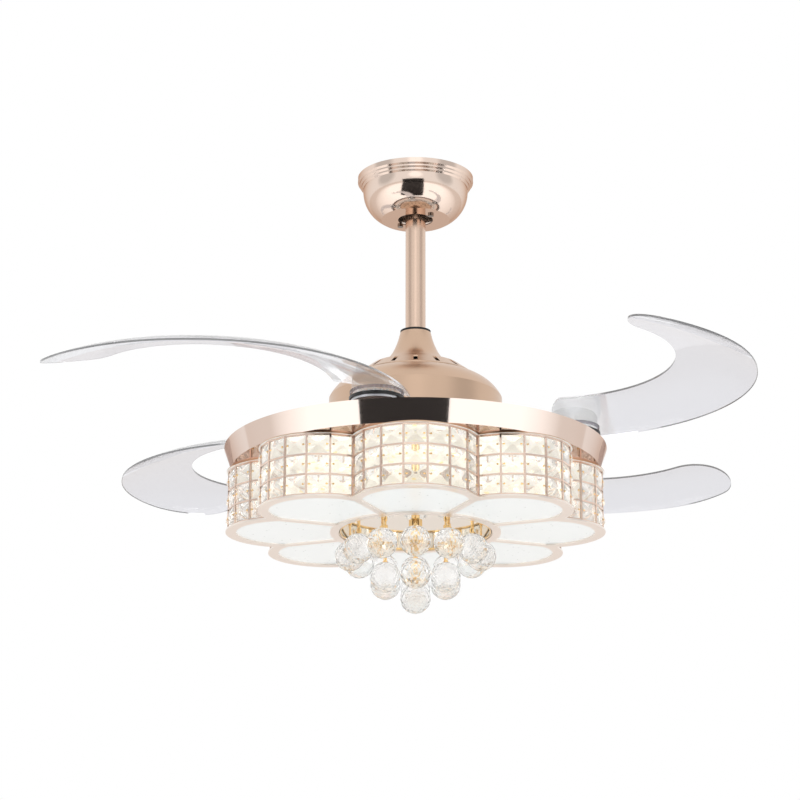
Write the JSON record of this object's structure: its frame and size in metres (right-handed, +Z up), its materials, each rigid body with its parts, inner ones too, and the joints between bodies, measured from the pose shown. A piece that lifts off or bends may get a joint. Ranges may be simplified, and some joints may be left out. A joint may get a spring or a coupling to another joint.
{
  "type": "ceiling fan",
  "caption": "Ceiling fan on a downrod with clear sickle blades that fold in over a petal-shaped crystal drum lamp, with hanging crystal balls below.",
  "frame": {"origin": "middle of the ceiling bracket's top face, in the ceiling plane on the fan's axis", "axes": "+Z up along the rod out of the ceiling face, -Y towards the front petal that faces the viewer, +X to the viewer's right"},
  "size_m": [0.9006, 0.9006, 0.5992],
  "materials": {
    "rose_gold_mirror": "mirror-polished rose gold plate",
    "rose_gold_satin": "satin rose gold plate",
    "gilt_brass": "polished gilt",
    "zinc_steel": "zinc plated",
    "screw_steel": "bright nickel",
    "bearing_steel": "ground",
    "black_plastic": "fine satin",
    "pad_plastic": "matt, slightly worn",
    "black_rubber": "matt",
    "cast_aluminium": "as cast",
    "lamination": "blued sheet",
    "copper": "enamelled copper wire",
    "ferrite": "matt ferrite",
    "gear_nylon": "natural nylon",
    "clear_blade": "clear grey acrylic, polished edges",
    "crystal": "cut and polished",
    "diffuser_white": "lit opal acrylic",
    "board_white": "white solder mask",
    "led_phosphor": "phosphor",
    "driver_case": "moulded"
  },
  "bodies": {
    "ceiling_mount": {"ceiling_bracket": "zinc_steel", "remote_receiver": "black_plastic", "canopy": "rose_gold_mirror", "canopy_screws": "screw_steel"},
    "hung_frame": {"hanger_ball": "black_plastic", "hanger_pin": "zinc_steel", "downrod": "rose_gold_satin", "rod_seal": "black_rubber", "rod_coupling": "zinc_steel", "coupling_pin": "zinc_steel", "motor_cover": "rose_gold_satin", "cover_screws": "screw_steel", "motor_shaft": "zinc_steel", "stator_core": "lamination", "stator_windings": "copper", "light_pan": "rose_gold_mirror", "shaft_nuts": "zinc_steel", "led_drivers": "driver_case", "drum_plate": "rose_gold_satin", "led_board": "board_white", "drum_screws": "screw_steel", "leds": "led_phosphor", "petal_cage": "rose_gold_satin", "crystals_lower": "crystal", "crystals_middle": "crystal", "crystals_upper": "crystal", "window_frame": "rose_gold_satin", "diffusers": "diffuser_white", "mirror_tray": "gilt_brass", "tray_tube": "gilt_brass", "tray_nuts": "gilt_brass", "upper_wires": "gilt_brass", "upper_balls": "crystal", "middle_wires": "gilt_brass", "middle_balls": "crystal", "lowest_wire": "gilt_brass", "lowest_ball": "crystal"},
    "rotor": {"rotor_shell_top": "cast_aluminium", "rotor_shell_base": "cast_aluminium", "motor_bearings": "bearing_steel", "rotor_magnets": "ferrite", "housing_screws": "screw_steel", "blade_carrier": "zinc_steel", "carrier_screws": "screw_steel", "pivot_posts": "zinc_steel", "pivot_pads": "pad_plastic", "return_spring": "zinc_steel"},
    "sync": {"sync_gear": "gear_nylon"},
    "blade_arm_1": {"blade_1": "clear_blade", "blade_gear_1": "gear_nylon"},
    "blade_arm_2": {"blade_2": "clear_blade", "blade_gear_2": "gear_nylon"},
    "blade_arm_3": {"blade_3": "clear_blade", "blade_gear_3": "gear_nylon"},
    "blade_arm_4": {"blade_4": "clear_blade", "blade_gear_4": "gear_nylon"}
  },
  "joints": [
    {"name": "hanger_tilt", "type": "hinge", "parent": "ceiling_mount", "child": "hung_frame", "pos_m": [0, 0, -0.03], "axis": [0, 1, 0], "range_deg": [-12, 12]},
    {"name": "rotor_spin", "type": "hinge", "parent": "hung_frame", "child": "rotor", "pos_m": [0, 0, -0.325], "axis": [0, 0, 1], "continuous": true},
    {"name": "blade_1_fold", "type": "hinge", "parent": "rotor", "child": "blade_arm_1", "pos_m": [0.20451, -0.0477, -0.372], "axis": [0, 0, 1], "range_deg": [-92, 0]},
    {"name": "blade_2_fold", "type": "hinge", "parent": "rotor", "child": "blade_arm_2", "pos_m": [0.0477, 0.20451, -0.372], "axis": [0, 0, 1], "range_deg": [-92, 0]},
    {"name": "blade_3_fold", "type": "hinge", "parent": "rotor", "child": "blade_arm_3", "pos_m": [-0.20451, 0.0477, -0.372], "axis": [0, 0, 1], "range_deg": [-92, 0]},
    {"name": "blade_4_fold", "type": "hinge", "parent": "rotor", "child": "blade_arm_4", "pos_m": [-0.0477, -0.20451, -0.372], "axis": [0, 0, 1], "range_deg": [-92, 0]},
    {"name": "sync_turn", "type": "hinge", "parent": "rotor", "child": "sync", "pos_m": [0, 0, -0.37], "axis": [0, 0, 1], "range_deg": [-0.5, 12.8]}
  ],
  "couplings": [
    {"joint": "blade_2_fold", "follows": "blade_1_fold", "ratio": 1},
    {"joint": "blade_3_fold", "follows": "blade_1_fold", "ratio": 1},
    {"joint": "blade_4_fold", "follows": "blade_1_fold", "ratio": 1},
    {"joint": "sync_turn", "follows": "blade_1_fold", "ratio": -0.13514}
  ]
}
